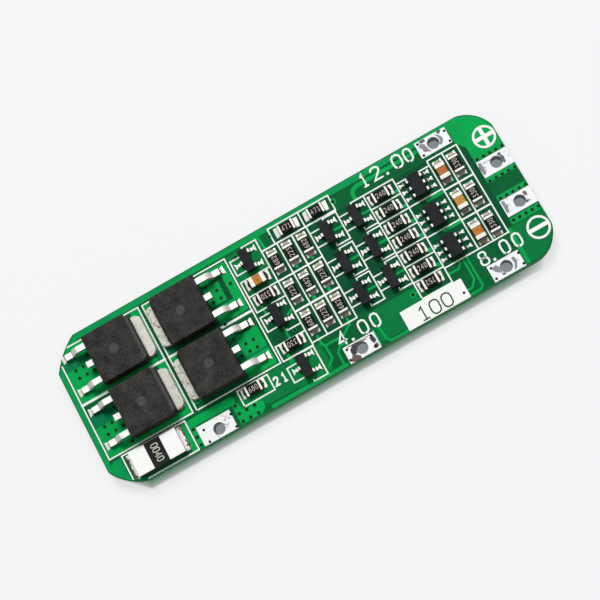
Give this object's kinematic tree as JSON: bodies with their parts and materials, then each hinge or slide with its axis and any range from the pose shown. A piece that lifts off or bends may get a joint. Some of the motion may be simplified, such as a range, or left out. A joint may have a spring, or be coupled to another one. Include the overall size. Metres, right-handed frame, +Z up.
{
  "type": "battery management board",
  "caption": "Flat green circuit board with cut corners, moulded power transistors, rows of chip parts, a current shunt and tinned wire holes along its edges.",
  "frame": {"origin": "under the middle of the board, on the flat underside that it rests on", "axes": "+X along the board towards the end with the positive and negative wire holes, +Y across it towards the edge with the third-cell wire hole, +Z up through the parts"},
  "size_m": [0.06, 0.02, 0.0039],
  "materials": {
    "laminate": "glossy solder mask",
    "tinned_land": "bright tin",
    "tinned_lead": "satin tin",
    "solder": "satin",
    "shunt_metal": "matte tin",
    "shunt_coating": "satin",
    "moulding": "fine matte",
    "chip_resistor": "dark coat",
    "chip_capacitor": "satin"
  },
  "bodies": {
    "root": {"circuit_board": "laminate", "terminal_zero_volt": "tinned_land", "terminal_first_cell": "tinned_land", "terminal_second_cell": "tinned_land", "terminal_third_cell": "tinned_land", "terminal_positive": "tinned_land", "terminal_negative": "tinned_land", "power_transistor_upper_left_body": "moulding", "power_transistor_upper_left_frame": "tinned_lead", "power_transistor_lower_left_body": "moulding", "power_transistor_lower_left_frame": "tinned_lead", "power_transistor_upper_right_body": "moulding", "power_transistor_upper_right_frame": "tinned_lead", "power_transistor_lower_right_body": "moulding", "power_transistor_lower_right_frame": "tinned_lead", "shunt_element": "shunt_metal", "shunt_coating": "shunt_coating", "transistor_leads": "tinned_lead", "left_transistor_1": "moulding", "left_transistor_2": "moulding", "left_transistor_3": "moulding", "middle_transistor_1": "moulding", "middle_transistor_2": "moulding", "middle_transistor_3": "moulding", "right_transistor_1": "moulding", "right_transistor_2": "moulding", "right_transistor_3": "moulding", "chip_leads": "tinned_lead", "protection_chip_1": "moulding", "protection_chip_2": "moulding", "protection_chip_3": "moulding", "divider_resistor_a1": "chip_resistor", "divider_resistor_a2": "chip_resistor", "divider_resistor_a3": "chip_resistor", "divider_resistor_b1": "chip_resistor", "divider_resistor_b2": "chip_resistor", "divider_resistor_b3": "chip_resistor", "divider_resistor_c1": "chip_resistor", "divider_resistor_c2": "chip_resistor", "divider_resistor_c3": "chip_resistor", "top_resistor_1": "chip_resistor", "top_resistor_2": "chip_resistor", "gate_resistor_1": "chip_resistor", "gate_resistor_2": "chip_resistor", "balance_resistor_1": "chip_resistor", "balance_resistor_2": "chip_resistor", "balance_resistor_3": "chip_resistor", "balance_resistor_4": "chip_resistor", "balance_resistor_5": "chip_resistor", "balance_resistor_6": "chip_resistor", "supply_resistor": "chip_resistor", "sense_resistor": "chip_resistor", "filter_resistor_1": "chip_resistor", "filter_resistor_2": "chip_resistor", "filter_resistor_3": "chip_resistor", "gate_capacitor": "chip_capacitor", "filter_capacitor_1": "chip_capacitor", "filter_capacitor_2": "chip_capacitor", "filter_capacitor_3": "chip_capacitor", "solder_joints": "solder"}
  },
  "joints": []
}
